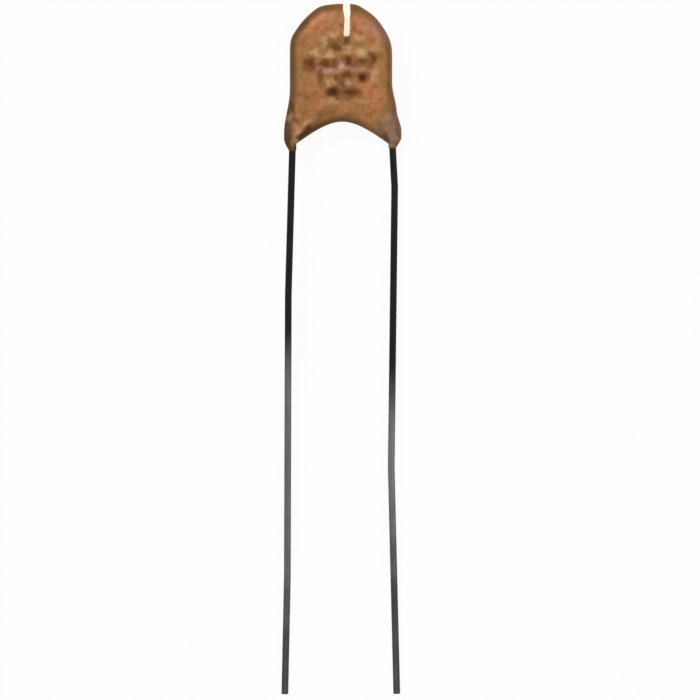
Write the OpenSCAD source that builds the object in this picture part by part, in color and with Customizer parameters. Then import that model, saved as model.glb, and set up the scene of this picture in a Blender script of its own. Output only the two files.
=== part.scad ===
// Dipped ceramic disc capacitor with two long radial wire leads.
// Lies on its back: the disc's axis is +Z, the leads run towards -Y, millimetres.

/* [Ceramic] */
// Diameter of the ceramic disc
disc_d = 6.6; // [6.2:0.1:6.8]
// Thickness of the ceramic disc
disc_t = 0.7; // [0.5:0.05:0.8]
// Diameter of the silver electrode fired on each face
electrode_d = 6; // [5.4:0.1:6]
// Thickness of the silver, drawn thicker than the real film
electrode_t = 0.03; // [0.02:0.01:0.05]

/* [Leads] */
// Diameter of the tinned copper wire
wire_d = 0.5; // [0.4:0.05:0.55]
// Length of a lead below the short straight in its foot
lead_reach = 39.5; // [36:0.1:42]
// Radius of the bend between the disc and the foot, at the wire's middle
bend_r = 0.8; // [0.6:0.1:1]

/* [Solder] */
// Radius of the solder mound over the wire's end
solder_r = 0.45; // [0.4:0.01:0.46]
// Thickness of solder between the wire and the silver
solder_gap = 0.02; // [0.01:0.01:0.04]

/* [Coating] */
// Diameter of the coated disc
coat_d = 7.42; // [7.3:0.02:7.5]
// Thickness of the coated disc over the solder
coat_t = 2.4; // [2.4:0.05:2.7]
// Extra height of the front's crown
crown = 0.07; // [0:0.01:0.12]
// Depth over which the outer rim is rounded
rim_round = 1.15; // [0.9:0.05:1.3]
// Depth over which the web thins towards its lower edge
web_taper = 2.3; // [1.8:0.1:2.6]
// From the disc's axis to the middle of the concave lower edge
web_drop = 4.84; // [4.7:0.02:5]
// From the disc's axis to the end of the left foot
left_drop = 6.85; // [6.75:0.01:6.9]
// From the disc's axis to the end of the right foot
right_drop = 6.65; // [6.6:0.01:6.8]
// How far the left foot flares past the disc's side
left_flare = 0.42; // [0.3:0.01:0.5]
// How far the right foot flares past the disc's side
right_flare = 0.67; // [0.5:0.01:0.7]
// Half the thickness of a foot
foot_h = 0.45; // [0.42:0.01:0.5]
// Height of the ridge where the wire shows through the coating
ridge_h = 0.24; // [0.15:0.01:0.3]

/* [Class stripe] */
// Width of the painted stripe
stripe_w = 0.52; // [0.4:0.02:0.7]
// Length of the stripe down the front from the rim
stripe_len = 2.3; // [1.5:0.1:2.6]
// Middle of the stripe, to the right of the disc's axis
stripe_x = 0.42; // [0.3:0.01:0.6]
// Thickness of the paint
stripe_t = 0.06; // [0.04:0.01:0.1]

/* [Hidden] */

wire_r = wire_d / 2;
coat_r = coat_d / 2;
mid_z = coat_t / 2;                                  // middle of the ceramic
silver_z = disc_t / 2 + electrode_t;                 // silver's face, from the middle
wire_z = silver_z + solder_gap + wire_r;             // wire's middle, from the middle
knee_over = 0.005;                                   // a knee's ball is this much thicker
knee_gap = 0.02;                                     // straight runs stop this far from it

// Each wire is walked from its inner end: where it starts on the disc, which way it
// sets off (degrees from -Y towards +X), then runs of straight wire with a bend after
// each: [length, side the bend leans to, angle, radius]. Side 0 is +X, 180 is -X,
// 90 is up and -90 is down.
front_start = [1.45, -1.35, mid_z + wire_z];
front_heading = -48.5;
front_runs = [
    [6.25, 0, 46.9, bend_r],
    [0.8, -90, 3, 0],
    [10.6, 0, 1.4, 0],
    [19.8, 90, 3, 0],
    [0.6, 180, 1, 0]
];
back_start = [-1.25, -1.31, mid_z - wire_z];
back_heading = 48.5;
back_runs = [
    [6.25, 180, 45.5, bend_r],
    [0.8, -90, 0.55, 0],
    [2.8, 180, 3.7, 0],
    [20.3, 0, 2.1, 0],
    [7.6, 90, 0.55, 0]
];

// The solder mound starts this far from the wire's inner end, and is this long
// between the middles of its round ends
mound_start = 0.3;
mound_len = 1.55;
mound_lift = silver_z + 0.15;                        // its middle, from the ceramic's

// The coating is a loft of closed oval sections that fan out round the concave edge,
// from the end of the left foot (v = -1) over the top (v = 0) to the right foot (v = 1).
stations = 27;                                       // sections on each side of v = 0
section_step = 7.5;                                  // degrees between a section's points
arc_share = 0.45;                                    // share of a side that is the top arc
side_power = 1.6;                                    // crowds the sections into the feet
web_mid = 0.1;                                       // X of the concave edge's middle
web_round = 2;                                       // how far from there it stays round
web_slope = 0.845;                                   // how steeply it then runs to the feet
web_at_side = 1.5;                                   // where the section from Y = 0 meets it
foot_in = 3.33;                                      // inner side of a foot, from web_mid
foot_in_y = -6.4;                                    // where that side begins
foot_end_r = wire_r + 0.04;                          // resin round the wire at the very end
thinning = [-1.6, 3.6];                              // the body thins from this Y, over this
parting = [-2.6, 3.2];                               // the feet part likewise, to front and back
hip_flare = [-2, 2.2];                               // a first flare, high on a side

// The body isn't quite the same on both sides: [left, right]
foot_drop = [left_drop, right_drop];
hip = [0, 0.5];                                      // share of the flare that is in the hip
foot_flare = [[-2.5, 3.2], [-4, 1.5]];               // the rest of it
foot_y = [-6.1, -6.05];                              // where the feet begin to close in
closing_power = [1.6, 1.15];                         // how late they close
foot_end_x = [3.52, 3.75];                           // where the wires leave the feet

// The ridge over each wire, measured from the wire's inner end
ridge_from = 2.6;
ridge_rise = 2;                                      // it comes up over this length
ridge_to = 6;
ridge_w = 0.42;                                      // half its width

skin_gap = 0.01;                                     // keeps the paint clear of the facets

function smooth(t) = let (c = min(max(t, 0), 1)) c * c * (3 - 2 * c);
function swell(t) = t >= 1 ? 1 : sqrt(max(0, t * (2 - t)));
function mix(a, b, t) = a + (b - a) * t;
function down(y, stretch) = smooth((stretch[0] - y) / stretch[1]);

function on(side, pair) = pair[side < 0 ? 0 : 1];

// 0 above the foot's end, growing to 1 at its tip
function closing(side, y) =
    let (start = on(side, foot_y))
    pow(max(0, (start - y) / (on(side, foot_drop) + start)), on(side, closing_power));

// Outer edge of the coating in plan, and its inner, concave edge
function side_y(side, u) =
    let (share = max(0, (u - arc_share) / (1 - arc_share)))
    -on(side, foot_drop) * (1 - pow(1 - share, side_power));
function side_x(side, y) =
    let (flared = mix(down(y, on(side, foot_flare)), down(y, hip_flare), on(side, hip)))
    let (full = coat_r + on(side, [left_flare, right_flare]) * flared)
    mix(full, on(side, foot_end_x) + foot_end_r, closing(side, y));
function outer_edge(v, grow) =
    let (u = abs(v), side = v < 0 ? -1 : 1, turn = 90 * u / arc_share, y = side_y(side, u))
    u <= arc_share
        ? (coat_r + grow) * [side * sin(turn), cos(turn)]
        : [side * (side_x(side, y) + grow), y];
function inner_edge(v) =
    let (u = abs(v), side = v < 0 ? -1 : 1, y = side_y(side, u))
    let (reach = u <= arc_share
        ? web_at_side * u / arc_share
        : min(foot_in, mix(web_at_side, foot_in, y / foot_in_y)))
    let (web_y = -web_drop - web_slope * (norm([web_round, reach]) - web_round))
    [web_mid + side * reach, min(web_y, reach < foot_in ? web_y : y)];

// Height of the ridge over the wire's line, at a point in plan
function ridge(p, start, heading) =
    let (way = [sin(heading), -cos(heading)])
    let (rel = [p[0] - start[0], p[1] - start[1]], along = rel * way)
    let (off = norm(rel - min(along, ridge_to) * way))
    ridge_h * smooth((along - ridge_from) / ridge_rise) * exp(-pow(off / ridge_w, 2));

// One point of the section at v. turn goes once round it: 0 is the outer edge,
// 90 the front, 180 the inner edge, 270 the back.
function coat_point(v, turn, grow = 0) =
    let (u = abs(v), side = v < 0 ? -1 : 1, y = side_y(side, u))
    let (a = outer_edge(v, grow), b = inner_edge(v), span = norm(b - a))
    let (share = (1 - cos(turn)) / 2, p = mix(a, b, share))
    let (rim = min(rim_round, span / 2), taper = min(web_taper, span / 2))
    let (fall = swell(span * share / rim) * swell(span * (1 - share) / taper))
    let (body_half = mix(coat_t / 2, foot_h, down(y, thinning)))
    let (half = mix(body_half, foot_end_r, closing(side, y)) + grow)
    let (middle = mid_z - side * wire_z * down(y, parting))
    let (dome = crown * pow(max(0, 1 - pow(norm(p) / coat_r, 2)), 2))
    turn <= 180
        ? [p[0], p[1], middle + fall * (half + dome + ridge(p, front_start, front_heading))]
        : [p[0], p[1], max(0, middle - fall * (half + ridge(p, back_start, back_heading)))];

// Skin over a grid of points: rows of equal length, each row closed, with flat ends.
// The squares' diagonals are mirrored half way, so that both halves crease alike.
module loft(rows) {
    n = len(rows[0]);
    m = len(rows);
    walls = [for (i = [0:m - 2], j = [0:n - 1])
        let (k = (j + 1) % n, a = i * n + j, b = i * n + k, c = a + n, d = b + n)
        each (i < m / 2 ? [[a, c, d], [a, d, b]] : [[a, c, b], [b, c, d]])];
    ends = [[for (j = [0:n - 1]) j], [for (j = [n - 1:-1:0]) (m - 1) * n + j]];
    polyhedron([for (row = rows) each row], concat(walls, ends), convexity = 4);
}

// The wire's straight runs and its arc stop just short of each knee, a ball that is a
// hair thicker than the wire, so that every joint is a clean crossing of two surfaces.
module knee() {
    sphere(r = wire_r + knee_over, $fn = 48);
}

module run(length, free_start, free_end) {
    from = free_start ? 0 : knee_gap;
    to = free_end ? length : length - knee_gap;
    if (!free_start) knee();
    translate([0, 0, from]) cylinder(h = to - from, r = wire_r, $fn = 48);
}

// A quarter-like arc of wire from +Z towards +X, with its middle line starting at 0
module arc(angle, radius) {
    short = 180 / PI * knee_gap / radius;
    knee();
    translate([radius, 0, 0])
        rotate([90, 0, 0])
            rotate_extrude(start = 180 - short, angle = -(angle - 2 * short), $fn = 96)
                translate([radius, 0]) circle(r = wire_r, $fn = 48);
}

// Straight wire along +Z, a bend that leans to one side, then whatever follows it
module bent_run(length, side, angle, radius, first) {
    run(length, first, false);
    translate([0, 0, length])
        rotate([0, 0, side]) {
            if (radius > 0) arc(angle, radius);
            translate([radius * (1 - cos(angle)), 0, radius * sin(angle)])
                rotate([0, angle, 0])
                    rotate([0, 0, -side])
                        children();
        }
}

module wire_walk(runs, last, i = 0) {
    if (i < len(runs))
        bent_run(runs[i][0], runs[i][1], runs[i][2], runs[i][3], i == 0)
            wire_walk(runs, last, i + 1);
    else
        run(last, false, true);
}

module from_start(start, heading) {
    translate(start) rotate([0, 0, heading]) rotate([90, 0, 0]) children();
}

function run_sum(runs, i) = i < len(runs) ? runs[i][0] + run_sum(runs, i + 1) : 0;

// Straight wire left after the last bend; the first two runs lie inside the body
function last_run(runs) = lead_reach - run_sum(runs, 2);

module front_wire() {
    from_start(front_start, front_heading) wire_walk(front_runs, last_run(front_runs));
}

module back_wire() {
    from_start(back_start, back_heading) wire_walk(back_runs, last_run(back_runs));
}

// A round-ended mound along the wire, before it is cut by the silver and the wire
module mound(start, heading, lift) {
    from_start([start[0], start[1], mid_z + lift], heading)
        translate([0, 0, mound_start])
            rotate_extrude($fn = 48)
                intersection() {
                    union() {
                        circle(r = solder_r, $fn = 48);
                        translate([0, mound_len]) circle(r = solder_r, $fn = 48);
                        translate([-solder_r, 0]) square([2 * solder_r, mound_len]);
                    }
                    translate([0, -solder_r]) square([solder_r, mound_len + 2 * solder_r]);
                }
}

module ceramic_disc() {
    color("wheat")
        translate([0, 0, mid_z - disc_t / 2])
            cylinder(h = disc_t, d = disc_d, $fn = 120);
}

module front_electrode() {
    color("silver")
        translate([0, 0, mid_z + disc_t / 2])
            cylinder(h = electrode_t, d = electrode_d, $fn = 120);
}

module back_electrode() {
    color("silver")
        translate([0, 0, mid_z - silver_z])
            cylinder(h = electrode_t, d = electrode_d, $fn = 120);
}

module front_lead() {
    color("dimgray") front_wire();
}

module back_lead() {
    color("dimgray") back_wire();
}

module front_solder() {
    color("gainsboro")
        difference() {
            mound(front_start, front_heading, mound_lift);
            translate([0, 0, mid_z + silver_z - coat_t]) cylinder(h = coat_t, r = coat_r);
            front_wire();
        }
}

module back_solder() {
    color("gainsboro")
        difference() {
            mound(back_start, back_heading, -mound_lift);
            translate([0, 0, mid_z - silver_z]) cylinder(h = coat_t, r = coat_r);
            back_wire();
        }
}

module coating() {
    color("peru")
        difference() {
            loft([for (i = [-stations:stations])
                [for (turn = [0:section_step:359]) coat_point(i / stations, turn)]]);
            ceramic_disc();
            front_electrode();
            back_electrode();
            mound(front_start, front_heading, mound_lift);
            mound(back_start, back_heading, -mound_lift);
            front_wire();
            back_wire();
        }
}

// The stripe is a thin skin over the coating, from just behind the rim down the front,
// with a round end. Each of its rows is [turn round the section, share of the full width].
function stripe_turn(down) = acos(1 - 2 * down / (coat_r + web_drop));
stripe_body = stripe_len - stripe_w / 2;
stripe_rows = concat(
    [for (i = [-2:-1]) [i * section_step, 1 + 0.2 * i]],
    [for (i = [0:stripe_turn(stripe_body) / section_step]) [i * section_step, 1]],
    [for (a = [0:15:75]) [stripe_turn(stripe_body + stripe_w / 2 * sin(a)), cos(a)]]
);

module class_stripe() {
    steps = [-1:0.2:1];
    half = asin(stripe_w / 2 / coat_r) * arc_share / 90;
    middle = asin(stripe_x / coat_r) * arc_share / 90;
    color("white")
        loft([for (row = stripe_rows)
            let (turn = (row[0] + 360) % 360)
            concat(
                [for (j = steps)
                    let (paint = stripe_t * sqrt(max(0.1, 1 - pow(j, 4))))
                    coat_point(middle + half * row[1] * j, turn, skin_gap + paint)],
                [for (j = steps) coat_point(middle - half * row[1] * j, turn, skin_gap)]
            )]);
}

coating();
class_stripe();
ceramic_disc();
front_electrode();
back_electrode();
front_solder();
back_solder();
front_lead();
back_lead();
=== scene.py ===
import math

import bmesh
import bpy
import numpy as np
from mathutils import Matrix, Vector, noise


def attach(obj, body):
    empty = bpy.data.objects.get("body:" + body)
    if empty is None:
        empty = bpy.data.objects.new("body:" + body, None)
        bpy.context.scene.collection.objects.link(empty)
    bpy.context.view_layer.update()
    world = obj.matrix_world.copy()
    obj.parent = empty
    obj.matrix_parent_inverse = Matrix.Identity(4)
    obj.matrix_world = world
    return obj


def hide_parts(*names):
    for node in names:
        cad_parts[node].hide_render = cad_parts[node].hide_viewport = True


mm = 0.001    # the sizes below are in millimetres
scratchHigh = 0.01    # relief of brush hairs, draw lines and specks


def smooth(t):
    c = np.clip(t, 0, 1)
    return c * c * (3 - 2 * c)


def swell(t):
    c = np.clip(t, 0, 1)
    return np.sqrt(c * (2 - c))


def mix(a, b, t):
    return a + (b - a) * t


def downTo(y, stretch):
    return smooth((stretch[0] - y) / stretch[1])


def linear(hexColour):
    parts = [int(hexColour[i:i + 2], 16) / 255 for i in (1, 3, 5)]
    return tuple(p / 12.92 if p <= 0.04045 else ((p + 0.055) / 1.055) ** 2.4 for p in parts) + (1,)


def feed(tree, node, sockets):
    # a socket takes a value, another node's output, or a node, for its first live output
    for key, value in sockets.items():
        if isinstance(value, bpy.types.Node):
            value = next(output for output in value.outputs if output.enabled)
        if isinstance(value, bpy.types.NodeSocket):
            tree.links.new(value, node.inputs[key])
        else:
            node.inputs[key].default_value = value


def addNode(tree, kind, sockets=None, **settings):
    node = tree.nodes.new(kind)
    for name, value in settings.items():
        setattr(node, name, value)
    feed(tree, node, sockets or {})
    return node


def newMaterial(name, **sockets):
    # a Principled material, with Object coordinates in mm for its patterns
    material = bpy.data.materials.new(name)
    material.use_nodes = True
    tree = material.node_tree
    tree.nodes.clear()
    shader = addNode(tree, "ShaderNodeBsdfPrincipled")
    addNode(tree, "ShaderNodeOutputMaterial", {"Surface": shader})
    for key, value in sockets.items():
        shader.inputs[key.replace("_", " ")].default_value = value
    place = addNode(tree, "ShaderNodeTexCoord").outputs["Object"]
    inMm = addNode(tree, "ShaderNodeVectorMath", {0: place, "Scale": 1 / mm}, operation="SCALE")
    return material, tree, shader, inMm


# The wires, from inside out: straight length, side the bend leans to, its angle and radius
wires = {
    "radius": 0.25,
    "fromMiddle": 0.65,   # off the ceramic's middle, to front and back
    "reach": 39.5,        # below the first two runs
    "kinkRadius": 3.0,    # of the small bends, given as 0
    "chamfer": 0.05, "sides": 40, "bendSteps": 14,
    "front": {
        "start": (1.45, -1.35), "heading": -48.5,
        "runs": ((6.25, 0, 46.9, 0.8), (0.8, -90, 3, 0), (10.6, 0, 1.4, 0),
                 (19.8, 90, 3, 0), (0.6, 180, 1, 0)),
    },
    "back": {
        "start": (-1.25, -1.31), "heading": 48.5,
        "runs": ((6.25, 180, 45.5, 0.8), (0.8, -90, 0.55, 0), (2.8, 180, 3.7, 0),
                 (20.3, 0, 2.1, 0), (7.6, 90, 0.55, 0)),
    },
}


def wireCorners(wire, lift):
    # where the wire's straight stretches would meet, and the bend's radius at each
    last = wires["reach"] - sum(run[0] for run in wire["runs"][2:])
    at = Vector((*wire["start"], body["coatThick"] / 2 + lift))
    facing = Matrix.Rotation(math.radians(wire["heading"]), 3, "Z")
    facing = facing @ Matrix.Rotation(math.pi / 2, 3, "X")
    corners = [(at.copy(), 0.0)]
    for length, side, angle, radius in wire["runs"]:
        leaning = facing @ Matrix.Rotation(math.radians(side), 3, "Z")
        bend = math.radians(angle)
        short = radius * math.tan(bend / 2)
        at = at + facing @ Vector((0, 0, length + short))
        corners.append((at.copy(), radius or wires["kinkRadius"]))
        facing = leaning @ Matrix.Rotation(bend, 3, "Y")
        facing = facing @ Matrix.Rotation(-math.radians(side), 3, "Z")
        at = at + facing @ Vector((0, 0, short))
    tip = at + facing @ Vector((0, 0, last))
    corners.append((tip - facing @ Vector((0, 0, wires["chamfer"])), 0.0))
    corners.append((tip, 0.0))
    return corners


def alongWire(corners, foot, distance):
    # a point on the wire, this far below the foot's end, and its direction there
    points = [c[0] for c in corners]
    for a, b in zip(points, points[1:]):
        if a.y >= foot >= b.y:
            start = a + (b - a) * ((foot - a.y) / (b.y - a.y))
            way = (b - a).normalized()
            left = (b - start).length
            if distance <= left:
                return start + way * distance, way
            distance -= left
            foot = b.y
    return points[-1], way


def drawnWireTree():
    # a path with a bend radius at each corner becomes a round wire with soft bends
    tree = bpy.data.node_groups.new("drawnWire", "GeometryNodeTree")
    tree.is_modifier = True
    wanted = (("Path", "NodeSocketGeometry"), ("Wire Radius", "NodeSocketFloat"),
              ("Sides", "NodeSocketInt"), ("Bend Steps", "NodeSocketInt"),
              ("Finish", "NodeSocketMaterial"))
    for name, kind in wanted:
        tree.interface.new_socket(name, in_out="INPUT", socket_type=kind)
    tree.interface.new_socket("Wire", in_out="OUTPUT", socket_type="NodeSocketGeometry")
    given = addNode(tree, "NodeGroupInput").outputs
    path = addNode(tree, "GeometryNodeMeshToCurve", {"Mesh": given["Path"]})
    bendRadius, thickness = (
        addNode(tree, "GeometryNodeInputNamedAttribute", {"Name": name}, data_type="FLOAT")
        for name in ("bendRadius", "thickness"))
    bent = addNode(tree, "GeometryNodeFilletCurve", {
        "Curve": path, "Count": given["Bend Steps"],
        "Radius": bendRadius, "Limit Radius": True}, mode="POLY")
    profile = addNode(tree, "GeometryNodeCurvePrimitiveCircle", {
        "Resolution": given["Sides"], "Radius": given["Wire Radius"]})
    swept = addNode(tree, "GeometryNodeCurveToMesh", {
        "Curve": bent, "Profile Curve": profile,
        "Scale": thickness, "Fill Caps": True})
    soft = addNode(tree, "GeometryNodeSetShadeSmooth", {"Geometry": swept})
    real = addNode(tree, "GeometryNodeRealizeInstances", {"Geometry": soft})
    done = addNode(tree, "GeometryNodeSetMaterial", {
        "Geometry": real, "Material": given["Finish"]})
    addNode(tree, "NodeGroupOutput", {"Wire": done})
    return tree


def sweptWire(name, corners, tree, finish, cutFinish):
    mesh = bpy.data.meshes.new(name + "_path")
    last = len(corners) - 1
    mesh.from_pydata([c[0] * mm for c in corners], [(i, i + 1) for i in range(last)], [])
    bend = mesh.attributes.new("bendRadius", "FLOAT", "POINT")
    thick = mesh.attributes.new("thickness", "FLOAT", "POINT")
    for i, (point, radius) in enumerate(corners):
        bend.data[i].value = radius * mm
        thick.data[i].value = 1 - wires["chamfer"] / wires["radius"] if i == last else 1.0
    route = bpy.data.objects.new(name + "_path", mesh)
    bpy.context.scene.collection.objects.link(route)
    sweep = route.modifiers.new("sweep", "NODES")
    sweep.node_group = tree
    values = {"Wire Radius": wires["radius"] * mm, "Sides": wires["sides"],
              "Bend Steps": wires["bendSteps"], "Finish": finish}
    for item in tree.interface.items_tree:
        if item.item_type == "SOCKET" and item.name in values:
            sweep[item.identifier] = values[item.name]
    seen = route.evaluated_get(bpy.context.evaluated_depsgraph_get())
    piece = bpy.data.objects.new(name, bpy.data.meshes.new_from_object(seen))
    bpy.context.scene.collection.objects.link(piece)
    bpy.data.objects.remove(route)
    piece.data.materials.append(cutFinish)
    work = bmesh.new()
    work.from_mesh(piece.data)
    bmesh.ops.recalc_face_normals(work, faces=work.faces)
    for face in work.faces:
        face.smooth = len(face.verts) == 4    # the cut ends stay flat
        face.material_index = 0 if face.smooth else 1
    work.to_mesh(piece.data)
    work.free()
    return piece


# The dipped body, with the same named sizes as its solid
body = {
    "coatRadius": 3.71, "coatThick": 2.4, "crown": 0.07,
    "rimRound": 1.15, "webTaper": 2.3, "webDrop": 4.84,
    "webMid": 0.1, "webRound": 2, "webSlope": 0.845, "webAtSide": 1.5,
    "footIn": 3.33, "footInY": -6.4, "footHalf": 0.45, "footEnd": 0.29,
    "sidePower": 1.6, "arcShare": 0.45,
    "hipFlare": (-2, 2.2), "thinning": (-1.6, 3.6), "parting": (-2.6, 3.2),
    "footDrop": (6.85, 6.65), "flares": (0.42, 0.67), "hip": (0, 0.5),    # left, right
    "footFlare": ((-2.5, 3.2), (-4, 1.5)),
    "footY": (-6.1, -6.05), "closingPower": (1.6, 1.15), "footEndX": (3.52, 3.75),
    "ridgeHigh": 0.24, "ridgeFrom": 2.6, "ridgeRise": 2.0, "ridgeTo": 6.0, "ridgeWide": 0.42,
    "rows": 110,          # sections on each side of the top
    "columns": 144,       # points round a section
    "wave": 0.02,         # slow unevenness of the dip, its size across, and how late it
    "waveSize": 1.3,      # dies out towards the feet's ends
    "waveHold": 6,
    # where the disc is out of round: degrees right of the top, degrees wide, how far out
    "lumps": ((-24, 11, 0.11), (-72, 9, 0.09), (17, 9, 0.1), (56, 12, -0.06)),
    # film that creeps down each wire below its foot: distance, radius
    "film": ((0.03, 0.282), (0.06, 0.272), (0.09, 0.262), (0.11, 0.255), (0.12, 0.235)),
    "filmUneven": 0.3,    # how much its fourth ring varies round the wire, and how finely
    "filmLobes": 1.2,
    "facingSoft": 4,      # how fast the front turns into the back at the outline
}


def ridgeHeight(x, y, wire):
    turn = math.radians(wire["heading"])
    way = (math.sin(turn), -math.cos(turn))
    relX, relY = x - wire["start"][0], y - wire["start"][1]
    along = relX * way[0] + relY * way[1]
    held = np.minimum(along, body["ridgeTo"])
    off = np.hypot(relX - held * way[0], relY - held * way[1])
    rise = smooth((along - body["ridgeFrom"]) / body["ridgeRise"])
    return body["ridgeHigh"] * rise * np.exp(-((off / body["ridgeWide"]) ** 2))


def coatPoint(v, turn, grow=0.0):
    # v runs from the left foot's end (-1) over the top (0) to the right foot's end (1);
    # turn goes round the section there: 0 outer edge, 90 front, 180 inner edge, 270 back
    b = body
    v, turn, grow = np.broadcast_arrays(np.asarray(v, float), np.asarray(turn, float), grow)
    u, side = np.abs(v), np.where(v < 0, -1.0, 1.0)
    lower = np.clip((u - b["arcShare"]) / (1 - b["arcShare"]), 0, 1)
    footDrop, footY, power, flare, hip, footEndX = (
        np.where(side < 0, *b[name])
        for name in ("footDrop", "footY", "closingPower", "flares", "hip", "footEndX"))
    edgeY = -footDrop * (1 - (1 - lower) ** b["sidePower"])
    closing = np.maximum(0, (footY - edgeY) / (footDrop + footY)) ** power
    footFlare = np.where(side < 0, *(downTo(edgeY, stretch) for stretch in b["footFlare"]))
    flare = flare * mix(footFlare, downTo(edgeY, b["hipFlare"]), hip)
    sideX = mix(b["coatRadius"] + flare, footEndX + b["footEnd"], closing)
    arc = np.radians(90 * u / b["arcShare"])
    onArc = u <= b["arcShare"]
    fromTop = 90 * v / b["arcShare"]
    radius = b["coatRadius"] + grow + sum(
        high * np.exp(-((fromTop - at) / wide) ** 2) for at, wide, high in b["lumps"])
    outX = side * np.where(onArc, radius * np.sin(arc), sideX + grow)
    outY = np.where(onArc, radius * np.cos(arc), edgeY)
    toFoot = mix(b["webAtSide"], b["footIn"], edgeY / b["footInY"])
    reach = np.where(onArc, b["webAtSide"] * u / b["arcShare"], np.minimum(b["footIn"], toFoot))
    webY = -b["webDrop"] - b["webSlope"] * (np.hypot(b["webRound"], reach) - b["webRound"])
    inX = b["webMid"] + side * reach
    inY = np.where(reach < b["footIn"], webY, np.minimum(webY, edgeY))
    span = np.hypot(inX - outX, inY - outY)
    share = (1 - np.cos(np.radians(turn))) / 2
    x, y = mix(outX, inX, share), mix(outY, inY, share)
    rim, taper = np.minimum(b["rimRound"], span / 2), np.minimum(b["webTaper"], span / 2)
    fall = swell(span * share / rim) * swell(span * (1 - share) / taper)
    half = mix(b["coatThick"] / 2, b["footHalf"], downTo(edgeY, b["thinning"]))
    half = mix(half, b["footEnd"], closing) + grow
    middle = b["coatThick"] / 2 - side * wires["fromMiddle"] * downTo(edgeY, b["parting"])
    dome = b["crown"] * np.maximum(0, 1 - (x * x + y * y) / b["coatRadius"] ** 2) ** 2
    front = middle + fall * (half + dome + ridgeHeight(x, y, wires["front"]))
    back = np.maximum(0, middle - fall * (half + ridgeHeight(x, y, wires["back"])))
    return np.stack([x, y, np.where(turn <= 180, front, back)], -1), fall


def skinned(name, rows, material):
    # closed shell over rows of equal length, each row closed, ends drawn to a middle point
    work = bmesh.new()
    made = [[work.verts.new(Vector(p) * mm) for p in row] for row in rows]
    for a, b in zip(made, made[1:]):
        for j in range(len(a)):
            k = (j + 1) % len(a)
            work.faces.new((a[j], a[k], b[k], b[j]))
    for row in (made[0], made[-1]):
        middle = work.verts.new(sum((p.co for p in row), Vector()) / len(row))
        for j in range(len(row)):
            work.faces.new((row[j], row[(j + 1) % len(row)], middle))
    bmesh.ops.recalc_face_normals(work, faces=work.faces)
    for face in work.faces:
        face.smooth = True
    mesh = bpy.data.meshes.new(name)
    work.to_mesh(mesh)
    work.free()
    mesh.materials.append(material)
    piece = bpy.data.objects.new(name, mesh)
    bpy.context.scene.collection.objects.link(piece)
    return piece


def farFrom(points, line):
    # each point's distance from a line of straight stretches, seen from the front
    far = np.full(points.shape[:-1], 99.0)
    for a, b in zip(line, line[1:]):
        way = b - a
        share = np.clip((points - a) @ way / max(way @ way, 1e-12), 0, 1)
        far = np.minimum(far, np.linalg.norm(points - a - share[..., None] * way, axis=-1))
    return far


def filmRows(corners, side, turns):
    rows = []
    for step, (distance, radius) in enumerate(body["film"]):
        row = []
        for turn in turns:
            angle = math.radians(turn)
            spot = Vector((math.cos(angle), math.sin(angle), side * 3)) * body["filmLobes"]
            far = distance * (1 + body["filmUneven"] * noise.noise(spot) * step / 3)
            middle, way = alongWire(corners, -body["footDrop"][side > 0], far)
            out = (Vector((side, 0, 0)) - way * (side * way.x)).normalized()
            up = out.cross(way)
            up = up if up.z > 0 else -up
            row.append(middle + (out * math.cos(angle) + up * math.sin(angle)) * radius)
        rows.append(row)
    return rows


def dippedBody(material, leftCorners, rightCorners):
    turns = np.arange(body["columns"]) * 360 / body["columns"]
    vs = np.linspace(-1, 1, 2 * body["rows"] + 1)
    grid, fall = coatPoint(vs[:, None], turns[None, :])
    rows = []
    for i, v in enumerate(vs):
        row = []
        for j, turn in enumerate(turns):
            p = Vector(grid[i, j])
            ripple = noise.noise(p / body["waveSize"]) * 0.5 + 0.5
            sink = body["wave"] * ripple * float(fall[i, j]) * (1 - abs(v) ** body["waveHold"])
            p.z += -sink if turn <= 180 else sink    # only ever inwards
            row.append(p)
        rows.append(row)
    left = filmRows(leftCorners, -1, turns)
    right = filmRows(rightCorners, 1, turns)
    piece = skinned("dipped_body", left[::-1] + rows + right, material)
    # for the resin's colour and its painted shade along the outline: how far each point is from
    # the outline, in mm, and if it is on the front; all are 0 on the films
    film = np.zeros(len(left) * len(turns))
    flat, half = grid[..., :2], body["columns"] // 2
    facing = np.clip(np.sin(np.radians(turns)) * body["facingSoft"] + 0.5, 0, 1)
    notes = {
        "fromRim": farFrom(flat, flat[:, 0]), "fromWeb": farFrom(flat, flat[:, half]),
        "onFront": facing * np.ones((len(vs), 1))}
    for name, values in notes.items():
        note = piece.data.attributes.new(name, "FLOAT", "POINT")
        note.data.foreach_set("value", np.concatenate([film, values.ravel(), film, (0, 0)]))
    return piece


# Paint stroke from just behind the top rim down the front
stripe = {
    "long": 2.38, "thick": 0.045, "sunk": 0.03, "endRound": 0.16,
    # distance down from the rim, then where its left and right edges are there
    "edges": ((0, 0.16, 0.65), (0.4, 0.14, 0.69), (0.75, 0.21, 0.69), (1.1, 0.275, 0.66),
              (1.6, 0.23, 0.66), (2.0, 0.19, 0.65), (2.38, 0.19, 0.6)),
    "edgeSoft": (0.2, 9),       # each way, over which those edges' corners are averaged out
    "behind": 15,               # degrees round the rim to the back, and how it narrows there
    "narrowing": 0.012,
    "ragged": 0.05,             # how far its edges wander, and over what length
    "raggedSize": 0.22,
    "lanes": (3.0, 7.0),        # where in the noise the left and the right edge are read
    "leastWide": 0.02,          # of its round end, squared
    "edgePower": 6,             # the higher, the flatter its top is between its edges
    "endThin": (0.35, 3),       # its thickness at the very end, and how fast it gains
    "endAt": 0.2,               # degrees that its last section stops short of its length
    "rows": 110, "across": 24,
    "nearTop": (-0.1, 0.2, 121),    # the part of the body's length that it lies in
}


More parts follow.
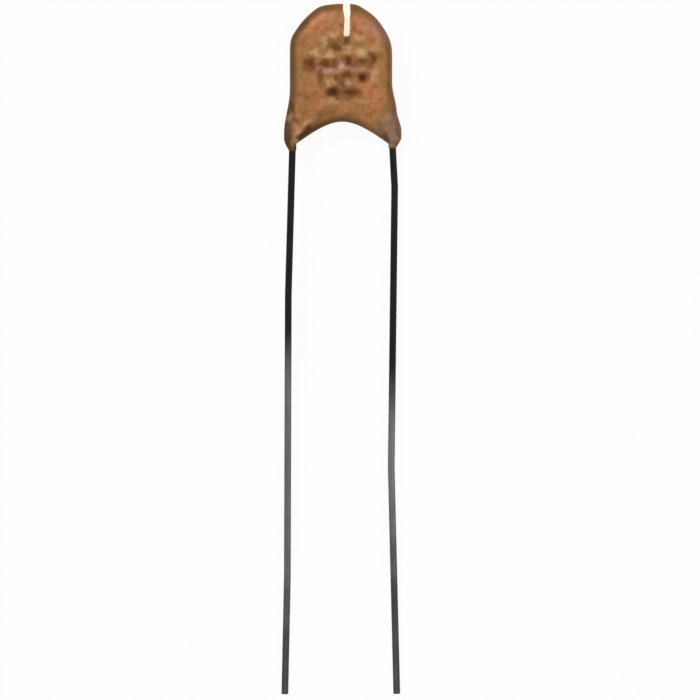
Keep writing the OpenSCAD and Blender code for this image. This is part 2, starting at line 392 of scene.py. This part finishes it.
def paintStripe(material):
    s, b = stripe, body
    span = b["coatRadius"] + b["webDrop"]
    distances, lefts, rights = np.array(s["edges"]).T
    straight = s["long"] - s["endRound"]
    lastTurn = math.degrees(math.acos(1 - 2 * s["long"] / span))
    steps = np.linspace(-1, 1, s["across"])
    nearTop = np.linspace(*s["nearTop"])
    soft, count = s["edgeSoft"]
    thinnest, thickening = s["endThin"]
    rows = []
    for turn in np.linspace(-s["behind"], lastTurn - s["endAt"], s["rows"]):
        distance = span * (1 - math.cos(math.radians(max(turn, 0)))) / 2
        past = max(0.0, distance - straight) / s["endRound"]
        width = math.sqrt(max(s["leastWide"], 1 - past * past))
        width = width * (1 + s["narrowing"] * min(turn, 0))
        along = math.radians(turn) * b["coatRadius"]
        edges = [width * (1 + s["ragged"] * noise.noise(Vector((along, lane, 0)) / s["raggedSize"]))
                 for lane in s["lanes"]]
        about = distance + np.linspace(-soft, soft, count)
        left, right = (np.interp(about, distances, edge).mean() for edge in (lefts, rights))
        spread = np.where(steps < 0, steps * edges[0], steps * edges[1])
        ending = min(1.0, thinnest + thickening * width * (1 - abs(past)))
        thick = s["thick"] * (1 - steps ** s["edgePower"]) * ending
        section, _ = coatPoint(nearTop, turn % 360)
        where = np.interp((left + right) / 2 + spread * (right - left) / 2, section[:, 0], nearTop)
        top, _ = coatPoint(where, turn % 360, thick)
        under, _ = coatPoint(where[::-1], turn % 360, -s["sunk"])
        rows.append([Vector(p) for p in top] + [Vector(p) for p in under])
    return skinned("paint_stripe", rows, material)


# The resin's colours and patterns
resinLook = {
    "tan": "#A9774A", "brick": "#BA794F", "olive": "#8F6F3C", "rust": "#91541F",
    # edge and dark are the colours of painted shade, pale that of painted highlights
    "edge": "#553509", "ink": "#432800", "redInk": "#542700", "rosy": "#C49486",
    "sandy": "#D0A67A", "dull": "#967868", "dark": "#4A3A22", "pale": "#B89B76",
    # how far across the patches of each pattern are, and how broken up
    "patterns": {
        "brick": (1.1, 1.5), "olive": (0.9, 1.5), "rust": (0.65, 1.0), "mottle": (0.45, 1.0),
        "pull": (0.5, 0.5), "smear": (0.42, 0.5), "grain": (0.13, 3.0), "ripple": (0.55, 3.0)},
    "elsewhere": (31, 17, 5),         # where in the noise half of the patterns are read
    # the likelihood at which a pigment starts to show, at which it is full, and how full;
    # and how much likelier a field makes it
    "pigments": {"brick": (0.4, 0.85, 1.0), "olive": (0.45, 0.85, 0.9), "rust": (0.52, 0.95, 0.85)},
    "likelier": 0.3,
    "softness": (0.15, 1.3),          # of a field: from here it fades, to here, in half widths
    "wander": 0.13,                   # how far the noise pulls a field's edge, mm
    "noiseSpan": 4,                   # widens the noise, which stays near its middle
    # painted shade along the outline and along the web's edge, in the edge colour:
    "rimShade": (0.16, 0.72),          # where the edge colour starts to fade inwards, and ends, mm
    "webShade": (0.12, 0.62),
    "rimShadeStrength": (0.9, 0.42),      # at the left and at the right, this far out, mm
    "rimShadeAcross": 3.0,
    "worn": (0.3, 0.6, 0.7),          # the noise between which a light patch gets whole, from this
    "patchy": (0.42, 0.62),           # the noise between which smeared ink comes and goes
    "reddish": (0.42, 0.58),          # and between which ink turns from brown to red-brown
    "tones": {"mottle": (0.86, 1.15), "grain": (0.94, 1.06)},
    "rough": (0.44, 0.56),
    "pitEvery": 0.45, "pitSize": (0.03, 0.12), "pitDeep": -0.5,
    "slowRelief": (0.5, 0.05), "fineRelief": (0.7, 0.025),    # strength, height in mm
    "turns": (0, 38, -38),            # the turns that a field may have
}

# Each field is an oval of one colour: its middle, its half width and height, its turn in
# degrees, and how strong it is
resinFields = {
    "brick": (
        (-1.75, 2.1, 1.6, 0.9, 0, 0.9), (1.75, 1.85, 1.3, 1.1, 0, 0.8),
        (-2.15, -3.35, 1.1, 1.2, 0, 0.9), (1.65, -2.75, 1.5, 0.8, 0, 0.9),
        (0.55, -3.8, 1.2, 0.5, 0, 0.8), (2.4, -1.4, 0.9, 0.9, 0, 0.5),
    ),
    "olive": (
        (-0.95, 0.75, 1.5, 0.6, 0, 0.9), (0.9, 0.55, 1.3, 0.6, 0, 0.5),
        (-3.0, -1.2, 0.7, 2.0, 0, 0.6), (3.2, -1.7, 0.5, 2.4, 0, 0.5),
        (-0.5, -4.4, 1.6, 0.4, 0, 0.6),
    ),
    "rust": (
        (0.9, 2.05, 0.28, 0.7, 0, 0.9), (0.0, 2.45, 0.26, 0.75, 0, 0.7),
        (-1.9, 1.8, 0.45, 0.35, 0, 1.0), (1.9, 1.2, 0.5, 0.6, 0, 0.6),
        (-2.4, -3.4, 0.9, 1.1, 0, 0.9), (1.9, -3.0, 0.9, 0.5, 0, 0.6),
        (-2.1, -4.9, 0.4, 0.2, 38, 0.8), (-2.7, 0.5, 0.6, 1.0, 0, 0.5),
        (2.9, -4.0, 0.5, 0.4, 0, 0.6), (-3.1, -4.75, 0.75, 0.5, 0, 1.0),
        (-2.5, -4.2, 0.5, 0.4, 0, 1.0),
    ),
    "ink": (    # worn printing, no longer legible
        (-0.38, 0.62, 0.66, 0.46, 0, 0.75), (0.36, 1.02, 0.38, 0.36, 0, 0.7),
        (-2.25, -0.6, 0.62, 0.68, 0, 0.85), (-1.25, -0.6, 0.95, 0.4, 0, 0.7),
        (-0.5, -0.52, 0.6, 0.46, 38, 0.75), (0.55, -0.42, 0.4, 0.52, 0, 0.9),
        (1.5, -0.48, 0.95, 0.4, 0, 0.75), (2.4, -0.2, 0.58, 0.5, 0, 0.8),
        (-1.45, -1.6, 0.42, 1.0, 0, 0.65), (0.4, -1.5, 0.72, 0.44, 0, 0.8),
        (1.6, -1.6, 0.52, 0.55, 0, 1.0), (-0.58, -2.62, 0.6, 0.65, 0, 1.0),
        (0.65, -2.68, 0.85, 0.5, 0, 0.9), (0.05, -2.05, 0.65, 0.4, -38, 0.65),
        # painted shade below the left foot's ridge, in the ink colour
        (-2.5, -5.52, 0.75, 0.22, 38, 0.85),
    ),
    "smear": (    # fainter ink along the print's rows
        (-0.2, 0.85, 1.6, 0.6, 0, 0.45), (0.0, -0.5, 3.1, 0.7, 0, 0.6),
        (0.0, -1.6, 2.3, 0.6, 0, 0.6), (0.0, -2.75, 1.9, 0.6, 0, 0.65),
    ),
    "rosy": (    # resin bleached by the ink's thinner
        (-0.85, -1.12, 1.0, 0.34, 0, 0.9), (-0.08, -0.66, 0.5, 0.42, 0, 0.85),
        (0.75, -1.0, 0.7, 0.3, 0, 0.6), (1.5, -1.12, 0.45, 0.3, 0, 0.6),
        (-0.75, 2.85, 0.95, 0.36, 0, 0.35), (2.3, 1.9, 1.0, 0.6, -38, 0.5),
        # painted highlight on the right foot
        (3.7, -5.8, 0.35, 0.5, 0, 0.6),
    ),
    "sandy": (    # left light between the marks
        (-0.65, 1.55, 0.5, 0.4, 0, 0.7), (-2.15, 2.2, 0.45, 0.3, 0, 0.35),
        (1.25, 1.3, 0.32, 0.34, 0, 0.5), (-1.2, 0.9, 0.4, 0.5, 0, 0.7),
        (-1.85, 0.1, 0.4, 0.5, 0, 0.7), (-0.9, 0.0, 0.5, 0.4, 0, 0.6),
        (0.45, 0.35, 0.5, 0.42, 0, 0.6), (1.55, 0.22, 0.62, 0.4, 0, 0.65),
        (2.55, 0.45, 0.5, 0.5, 0, 0.5), (-0.85, -2.0, 0.6, 0.32, 0, 0.7),
        (0.5, -1.98, 0.5, 0.3, 0, 0.7), (-0.04, -0.6, 0.42, 0.36, 0, 0.8),
        (2.3, -1.4, 0.45, 0.6, 0, 0.5), (-0.4, -3.32, 0.9, 0.34, 0, 0.4),
        # the last of this line and both of the next: painted highlights on the feet
        (1.7, -3.35, 0.7, 0.3, 0, 0.4), (-2.45, -4.92, 0.85, 0.2, 38, 0.8),
        (-3.12, -5.5, 0.4, 0.3, 38, 0.8), (3.3, -4.6, 0.42, 0.4, 0, 0.9),
    ),
    "dull": (    # painted sheen on the right foot, which also lightens the painted rim shade there; greyish mauve higher up
        (3.85, -5.3, 0.8, 1.3, 0, 0.85), (3.85, -6.3, 0.5, 0.6, 0, 0.8),
        (3.2, -5.2, 0.7, 0.6, 0, 0.6), (3.2, 1.3, 0.4, 0.8, 0, 0.35),
    ),
    "pale": (    # painted highlights on the feet
        (-3.3, -6.35, 0.26, 0.36, 0, 0.7), (3.42, -5.4, 0.42, 0.36, 0, 0.45),
        (3.44, -4.6, 0.36, 0.34, 0, 0.55), (-3.73, -4.65, 0.3, 0.4, 0, 0.4),
    ),
    "dark": (    # painted shade, mostly along the rims, the feet's edges and the web's edge
        (-3.88, -5.75, 0.58, 1.15, 0, 0.95), (0.0, -5.0, 0.8, 0.2, 0, 0.3),
        (-3.0, -6.0, 0.8, 0.27, 38, 0.65), (3.35, -6.05, 0.5, 0.24, -38, 0.75),
        (-3.52, -4.0, 0.28, 0.75, 0, 0.75), (4.1, -5.5, 0.22, 0.4, 0, 0.5),
        (-2.65, 2.3, 0.5, 0.25, 38, 0.6), (0.95, 3.1, 0.45, 0.5, 0, 0.45),
        (-3.12, -4.9, 0.38, 0.28, 0, 0.5), (-2.3, -3.3, 0.9, 1.1, 0, 0.2),
    ),
}


def turnedPlaces(tree, place):
    # the place as it is, and turned by each angle that a field may have
    turned = {0: place}
    for turn in resinLook["turns"][1:]:
        cos, sin = math.cos(math.radians(turn)), math.sin(math.radians(turn))
        along, across = (
            addNode(tree, "ShaderNodeVectorMath", {0: place, 1: way}, operation="DOT_PRODUCT")
            for way in ((cos, sin, 0), (-sin, cos, 0)))
        turned[turn] = addNode(tree, "ShaderNodeCombineXYZ", {"X": along, "Y": across})
    return turned


def fieldMask(tree, turned, fields):
    # oval patches with soft edges; where they overlap the strongest counts
    mask, (fades, ends) = None, resinLook["softness"]
    for x, y, halfWide, halfHigh, turn, strength in fields:
        cos, sin = math.cos(math.radians(turn)), math.sin(math.radians(turn))
        off = addNode(tree, "ShaderNodeVectorMath", {
            0: turned[turn], 1: (x * cos + y * sin, y * cos - x * sin, 0)}, operation="SUBTRACT")
        oval = addNode(tree, "ShaderNodeVectorMath", {
            0: off, 1: (1 / halfWide, 1 / halfHigh, 0)}, operation="MULTIPLY")
        far = addNode(tree, "ShaderNodeVectorMath", {0: oval}, operation="LENGTH")
        patch = addNode(tree, "ShaderNodeMapRange", {
            "Value": far, "From Min": fades, "From Max": ends,
            "To Min": strength, "To Max": 0.0}, interpolation_type="SMOOTHSTEP")
        if mask:
            patch = addNode(tree, "ShaderNodeMath", {0: mask, 1: patch}, operation="MAXIMUM")
        mask = patch
    return mask


def dippedResin():
    # Phenolic resin, dipped and baked: a dull-gloss skin whose pigment has mottled between
    # brick, tan and olive, with painted shade along its outline, painted highlights on the feet,
    # and fine pits
    look, soft = resinLook, {"interpolation_type": "SMOOTHSTEP"}
    material, tree, shader, place = newMaterial(
        "dipped_phenolic_resin", Roughness=0.5, IOR=1.55, Specular_IOR_Level=0.06)
    elsewhere = addNode(tree, "ShaderNodeVectorMath", {
        0: place, 1: look["elsewhere"]}, operation="ADD")
    pattern = {
        name: addNode(tree, "ShaderNodeTexNoise", {
            "Vector": elsewhere if name in ("olive", "mottle", "smear") else place,
            "Scale": 1 / across, "Detail": broken, "Roughness": 0.55})
        for name, (across, broken) in look["patterns"].items()}
    # the fields' edges wander with the noise
    pull = addNode(tree, "ShaderNodeVectorMath", {
        0: pattern["pull"].outputs["Color"], 1: (0.5, 0.5, 0.5)}, operation="SUBTRACT")
    pulled = addNode(tree, "ShaderNodeVectorMath", {
        0: pull, "Scale": look["noiseSpan"] * look["wander"]}, operation="SCALE")
    moved = addNode(tree, "ShaderNodeVectorMath", {0: place, 1: pulled}, operation="ADD")
    drawn = turnedPlaces(tree, moved)
    mask = {name: fieldMask(tree, drawn, fields) for name, fields in resinFields.items()}
    # a field makes its colour likelier there, and the noise breaks it up
    colour = linear(look["tan"])
    for name, (low, high, most) in look["pigments"].items():
        likely = addNode(tree, "ShaderNodeMath", {
            0: mask[name], 1: look["likelier"], 2: pattern[name]}, operation="MULTIPLY_ADD")
        amount = addNode(tree, "ShaderNodeMapRange", {
            "Value": likely, "From Min": low, "From Max": high, "To Max": most}, **soft)
        colour = addNode(tree, "ShaderNodeMix", {
            0: amount, 6: colour, 7: linear(look[name])}, data_type="RGBA")
    # print, bleached patches and the painted highlights and sheen are on the front only, and broken
    # up by the mottle
    onFront = addNode(tree, "ShaderNodeAttribute", attribute_name="onFront").outputs["Fac"]
    low, high, least = look["worn"]
    worn = addNode(tree, "ShaderNodeMapRange", {
        "Value": pattern["mottle"], "From Min": low, "From Max": high, "To Min": least}, **soft)
    shown = addNode(tree, "ShaderNodeMath", {0: onFront, 1: worn}, operation="MULTIPLY")
    # painted shade along the outline and the web's edge, fading inwards, stronger on the left than
    # on the right
    atX = addNode(tree, "ShaderNodeVectorMath", {0: place, 1: (1, 0, 0)}, operation="DOT_PRODUCT")
    atLeft, atRight = look["rimShadeStrength"]
    strength = addNode(tree, "ShaderNodeMapRange", {
        "Value": atX, "From Min": -look["rimShadeAcross"], "From Max": look["rimShadeAcross"],
        "To Min": atLeft, "To Max": atRight})
    edges = [addNode(tree, "ShaderNodeMapRange", {
        "Value": addNode(tree, "ShaderNodeAttribute", attribute_name=far).outputs["Fac"],
        "From Min": look[dark][0], "From Max": look[dark][1],
        "To Min": strength, "To Max": 0.0}, **soft)
        for far, dark in (("fromRim", "rimShade"), ("fromWeb", "webShade"))]
    patchy, reddish = (
        addNode(tree, "ShaderNodeMapRange", {
            "Value": pattern[name], "From Min": look[key][0], "From Max": look[key][1]}, **soft)
        for key, name in (("patchy", "smear"), ("reddish", "brick")))
    amounts = {
        name: addNode(tree, "ShaderNodeMath", {0: mask[name], 1: times}, operation="MULTIPLY")
        for name, times in (
            ("sandy", shown), ("rosy", shown), ("ink", onFront), ("smear", patchy),
            ("dull", shown), ("dark", 1.0), ("pale", shown))}
    smeared = addNode(tree, "ShaderNodeMath", {
        0: amounts["smear"], 1: onFront}, operation="MULTIPLY")
    for name, two in (("ink", (amounts["ink"], smeared)), ("edge", edges)):
        amounts[name] = addNode(tree, "ShaderNodeMath", {0: two[0], 1: two[1]}, operation="MAXIMUM")
    inkColour = addNode(tree, "ShaderNodeMix", {
        0: reddish, 6: linear(look["ink"]), 7: linear(look["redInk"])}, data_type="RGBA")
    # edge and dark paint shade; pale and the sandy, rosy and dull patches on the feet paint
    # highlights and sheen
    for name in ("sandy", "rosy", "ink", "edge", "dull", "dark", "pale"):
        paint = inkColour if name == "ink" else linear(look[name])
        colour = addNode(tree, "ShaderNodeMix", {
            0: amounts[name], 6: colour, 7: paint}, data_type="RGBA")
    tones = [addNode(tree, "ShaderNodeMapRange", {
        "Value": pattern[name], "From Min": 0.3, "From Max": 0.7, "To Min": least, "To Max": most})
        for name, (least, most) in look["tones"].items()]
    tone = addNode(tree, "ShaderNodeMath", {0: tones[0], 1: tones[1]}, operation="MULTIPLY")
    toned = addNode(tree, "ShaderNodeHueSaturation", {"Value": tone, "Color": colour})
    smoothest, roughest = look["rough"]
    rough = addNode(tree, "ShaderNodeMapRange", {
        "Value": pattern["mottle"], "From Min": 0.35, "From Max": 0.65,
        "To Min": smoothest, "To Max": roughest})
    # relief: slow ripples with a few pits, then the fine grain
    spots = addNode(tree, "ShaderNodeTexVoronoi", {"Vector": place, "Scale": 1 / look["pitEvery"]})
    floor, brim = look["pitSize"]
    pits = addNode(tree, "ShaderNodeMapRange", {
        "Value": spots.outputs["Distance"], "From Min": floor, "From Max": brim,
        "To Min": look["pitDeep"], "To Max": 0.0})
    relief = addNode(tree, "ShaderNodeMath", {0: pattern["ripple"], 1: pits}, operation="ADD")
    slow, fine = (
        addNode(tree, "ShaderNodeBump", {
            "Strength": share, "Distance": high * mm, "Height": height})
        for (share, high), height in (
            (look["slowRelief"], relief), (look["fineRelief"], pattern["grain"])))
    feed(tree, fine, {"Normal": slow})
    feed(tree, shader, {"Base Color": toned, "Roughness": rough, "Normal": fine})
    return material


paintLook = {
    "white": "#FFF9E8", "warm": "#FFDFB6",
    "streaks": (9, 0.8, 2),           # how fine the brush marks are along X, Y and Z
    "thinning": (1.3, 2.9),           # along Y: warm up to here, white from here
    "warmth": (1.3, 0.1),
}


def stripePaint():
    # Thick white paint, brushed on: matt, with hair lines along the stroke, and thin enough
    # at its lower end for the resin to warm it
    look = paintLook
    material, tree, shader, place = newMaterial("brushed_white_paint", Roughness=0.6, IOR=1.5)
    streaks = addNode(tree, "ShaderNodeVectorMath", {
        0: place, 1: look["streaks"]}, operation="MULTIPLY")
    hairs = addNode(tree, "ShaderNodeTexNoise", {"Vector": streaks, "Scale": 1.0, "Detail": 3.0})
    lower = addNode(tree, "ShaderNodeMapRange", {
        "Value": addNode(tree, "ShaderNodeSeparateXYZ", {0: place}).outputs["Y"],
        "From Min": look["thinning"][0], "From Max": look["thinning"][1],
        "To Min": look["warmth"][0], "To Max": look["warmth"][1]})
    thin = addNode(tree, "ShaderNodeMath", {
        0: lower, 1: hairs}, operation="MULTIPLY", use_clamp=True)
    colour = addNode(tree, "ShaderNodeMix", {
        0: thin, 6: linear(look["white"]), 7: linear(look["warm"])}, data_type="RGBA")
    bump = addNode(tree, "ShaderNodeBump", {
        "Strength": 0.4, "Distance": scratchHigh * mm, "Height": hairs})
    feed(tree, shader, {"Base Color": colour, "Normal": bump})
    return material


wireLook = {
    "nearBody": "#1F1F20", "free": "#5F5F5E", "dulled": "#444443",
    # along Y, where each ends or starts; the leans move that for one wire against the other
    "nearBodyTo": -20.8, "freeFrom": -25.8, "nearBodyLean": 0.39,
    "dulledFrom": -33.0, "dulledTo": -42.0, "dulledLean": -0.35,
    "blotch": 2.0,        # across, mm, and how far it carries those places up or down
    "carried": 5.0,
    "drawLines": 0.07,    # across, mm; the real die marks are finer than this shows
}


def tinnedWire():
    # Copper wire, drawn and hot-tinned: a grey sheen with faint lines along it, nearly
    # black near the body, mid grey further down, and darker again towards its end
    look = wireLook
    material, tree, shader, place = newMaterial("tinned_copper_wire", Metallic=1.0, Roughness=0.38)
    blotch = addNode(tree, "ShaderNodeTexNoise", {
        "Vector": place, "Scale": 1 / look["blotch"], "Detail": 4.0, "Roughness": 0.6})
    stages, middle = [], look["carried"] / 2
    for lean, low, high in (
            ("nearBodyLean", "freeFrom", "nearBodyTo"), ("dulledLean", "dulledTo", "dulledFrom")):
        along = addNode(tree, "ShaderNodeVectorMath", {
            0: place, 1: (look[lean], 1, 0)}, operation="DOT_PRODUCT")
        uneven = addNode(tree, "ShaderNodeMath", {
            0: blotch, 1: look["carried"], 2: along}, operation="MULTIPLY_ADD")
        stages.append(addNode(tree, "ShaderNodeMapRange", {
            "Value": uneven, "From Min": look[low] + middle, "From Max": look[high] + middle},
            interpolation_type="SMOOTHSTEP"))
    bright = addNode(tree, "ShaderNodeMix", {
        0: stages[1], 6: linear(look["dulled"]), 7: linear(look["free"])}, data_type="RGBA")
    across = 1 / look["drawLines"]
    stretched = addNode(tree, "ShaderNodeVectorMath", {
        0: place, 1: (across, 0.7, across)}, operation="MULTIPLY")
    lines = addNode(tree, "ShaderNodeTexNoise", {
        "Vector": stretched, "Scale": 1.0, "Detail": 2.0})
    colour = addNode(tree, "ShaderNodeMix", {
        0: stages[0], 6: bright, 7: linear(look["nearBody"])}, data_type="RGBA")
    tone = addNode(tree, "ShaderNodeMapRange", {
        "Value": blotch, "From Min": 0.3, "From Max": 0.7, "To Min": 0.8, "To Max": 1.2})
    toned = addNode(tree, "ShaderNodeHueSaturation", {"Value": tone, "Color": colour})
    rough = addNode(tree, "ShaderNodeMapRange", {
        "Value": lines, "From Min": 0.3, "From Max": 0.7, "To Min": 0.3, "To Max": 0.5})
    bump = addNode(tree, "ShaderNodeBump", {
        "Strength": 0.35, "Distance": scratchHigh * mm, "Height": lines})
    feed(tree, shader, {"Base Color": toned, "Roughness": rough, "Normal": bump})
    return material


# Speckled finishes, mostly for what the resin hides: light, dark, speck across, sockets
plainLooks = {
    "fired_titanate_ceramic": ("#C9AF8A", "#A98C66", 0.12, {"Roughness": 0.75, "IOR": 1.7}),
    "fired_silver_film": ("#DAD9D2", "#BDBBB2", 0.06, {"Metallic": 1.0, "Roughness": 0.45}),
    "soft_solder": ("#B9B9B6", "#8E8E8B", 0.3, {"Metallic": 1.0, "Roughness": 0.35}),
    "sheared_copper": ("#C98A68", "#8F5B42", 0.08, {"Metallic": 1.0, "Roughness": 0.5}),
}


def plainFinish(name):
    # each is a grainy surface: the specks are its fired grains, crystals or shear marks
    light, dark, across, sockets = plainLooks[name]
    material, tree, shader, place = newMaterial(name, **sockets)
    speck = addNode(tree, "ShaderNodeTexNoise", {
        "Vector": place, "Scale": 1 / across, "Detail": 3.0})
    colour = addNode(tree, "ShaderNodeMix", {
        0: speck, 6: linear(dark), 7: linear(light)}, data_type="RGBA")
    bump = addNode(tree, "ShaderNodeBump", {
        "Strength": 0.3, "Distance": scratchHigh * mm, "Height": speck})
    feed(tree, shader, {"Base Color": colour, "Normal": bump})
    return material


# Lamps are squares, in metres and watts; the camera looks straight down
studio = {
    "room": 0.24,         # what the white room adds to matt surfaces
    "floor": "#F2F2F2",
    "floorWhite": 0.95,   # share of plain white in the floor; the rest takes the shadow
    "floorHalf": 0.6, "floorLow": -0.01 * mm,
    "key": {"place": (-0.15, 0.14, 0.20), "size": 0.16, "power": 0.62},
    "fill": {"place": (0.20, 0.05, 0.18), "size": 0.22, "power": 0.2},
    "low": {"place": (0.0, -0.26, 0.20), "size": 0.22, "power": 0.14},
    "lampsAimAt": (0, -0.01, 0),
    "cameraAt": (0.652, -21.374, 300), "frame": 50.72,
}


def seenDirectly(tree):
    # 1 for the camera, a reflection or a see-through part, 0 for light on matt surfaces
    rays = addNode(tree, "ShaderNodeLightPath").outputs
    seen = addNode(tree, "ShaderNodeMath", {
        0: rays["Is Camera Ray"], 1: rays["Is Glossy Ray"]}, operation="MAXIMUM")
    return addNode(tree, "ShaderNodeMath", {
        0: seen, 1: rays["Is Transmission Ray"]}, operation="MAXIMUM")


def paleFloor():
    material = bpy.data.materials.new("white_card")
    material.use_nodes = True
    tree = material.node_tree
    tree.nodes.clear()
    matt = addNode(tree, "ShaderNodeBsdfDiffuse", {"Color": linear(studio["floor"])})
    glow = addNode(tree, "ShaderNodeEmission", {"Color": (1, 1, 1, 1), "Strength": 1.0})
    part = addNode(tree, "ShaderNodeMath", {
        0: seenDirectly(tree), 1: studio["floorWhite"]}, operation="MULTIPLY")
    both = addNode(tree, "ShaderNodeMixShader", {0: part, 1: matt, 2: glow})
    addNode(tree, "ShaderNodeOutputMaterial", {"Surface": both})
    mesh = bpy.data.meshes.new("floor")
    far, low = studio["floorHalf"], studio["floorLow"]
    corners = [(-far, -far, low), (far, -far, low), (far, far, low), (-far, far, low)]
    mesh.from_pydata(corners, [], [(0, 1, 2, 3)])
    mesh.materials.append(material)
    floor = bpy.data.objects.new("floor", mesh)
    bpy.context.scene.collection.objects.link(floor)


def lampsAndCamera():
    scene = bpy.context.scene
    world = bpy.data.worlds.new("white_room")
    scene.world = world
    world.use_nodes = True
    tree = world.node_tree
    tree.nodes.clear()
    dim = addNode(tree, "ShaderNodeBackground", {"Color": (1, 1, 1, 1), "Strength": studio["room"]})
    white = addNode(tree, "ShaderNodeBackground", {"Color": (1, 1, 1, 1), "Strength": 1.0})
    both = addNode(tree, "ShaderNodeMixShader", {0: seenDirectly(tree), 1: dim, 2: white})
    addNode(tree, "ShaderNodeOutputWorld", {"Surface": both})
    for name in ("key", "fill", "low"):
        lamp = bpy.data.lights.new(name, "AREA")
        lamp.shape = "SQUARE"
        lamp.size = studio[name]["size"]
        lamp.energy = studio[name]["power"]
        holder = bpy.data.objects.new(name, lamp)
        holder.location = studio[name]["place"]
        aim = Vector(studio["lampsAimAt"]) - holder.location
        holder.rotation_euler = aim.to_track_quat("-Z", "Y").to_euler()
        scene.collection.objects.link(holder)
    eye = bpy.data.cameras.new("camera")
    eye.type = "ORTHO"
    eye.ortho_scale = studio["frame"] * mm
    eye.clip_start, eye.clip_end = 0.01, 10
    holder = bpy.data.objects.new("camera", eye)
    holder.location = Vector(studio["cameraAt"]) * mm
    scene.collection.objects.link(holder)
    scene.camera = holder
    scene.view_settings.view_transform = "Standard"


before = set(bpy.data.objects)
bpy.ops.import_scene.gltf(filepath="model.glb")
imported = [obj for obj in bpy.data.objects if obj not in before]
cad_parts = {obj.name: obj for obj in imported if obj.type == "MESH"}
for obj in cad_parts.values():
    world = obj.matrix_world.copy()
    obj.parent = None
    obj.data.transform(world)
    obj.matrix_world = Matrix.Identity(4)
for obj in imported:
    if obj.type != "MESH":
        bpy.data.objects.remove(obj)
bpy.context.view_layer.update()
lampsAndCamera()
paleFloor()
print("stage and lamps ready")

resin, paint, tin = dippedResin(), stripePaint(), tinnedWire()
plain = {name: plainFinish(name) for name in plainLooks}
print("finishes ready")

leftCorners = wireCorners(wires["front"], wires["fromMiddle"])
rightCorners = wireCorners(wires["back"], -wires["fromMiddle"])
coat = dippedBody(resin, leftCorners, rightCorners)
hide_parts("coating")
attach(coat, "root")
print("body dipped")

stroke = paintStripe(paint)
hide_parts("class_stripe")
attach(stroke, "root")
print("stripe painted")

wireTree = drawnWireTree()
for side, corners in (("front", leftCorners), ("back", rightCorners)):
    lead = sweptWire("wire_" + side, corners, wireTree, tin, plain["sheared_copper"])
    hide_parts(side + "_lead")
    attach(lead, "root")
print("wires drawn")

hidden = {"ceramic_disc": "fired_titanate_ceramic",
          "front_electrode": "fired_silver_film", "back_electrode": "fired_silver_film",
          "front_solder": "soft_solder", "back_solder": "soft_solder"}
for name, finish in hidden.items():
    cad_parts[name].data.materials.clear()
    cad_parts[name].data.materials.append(plain[finish])
print("inner pieces finished")
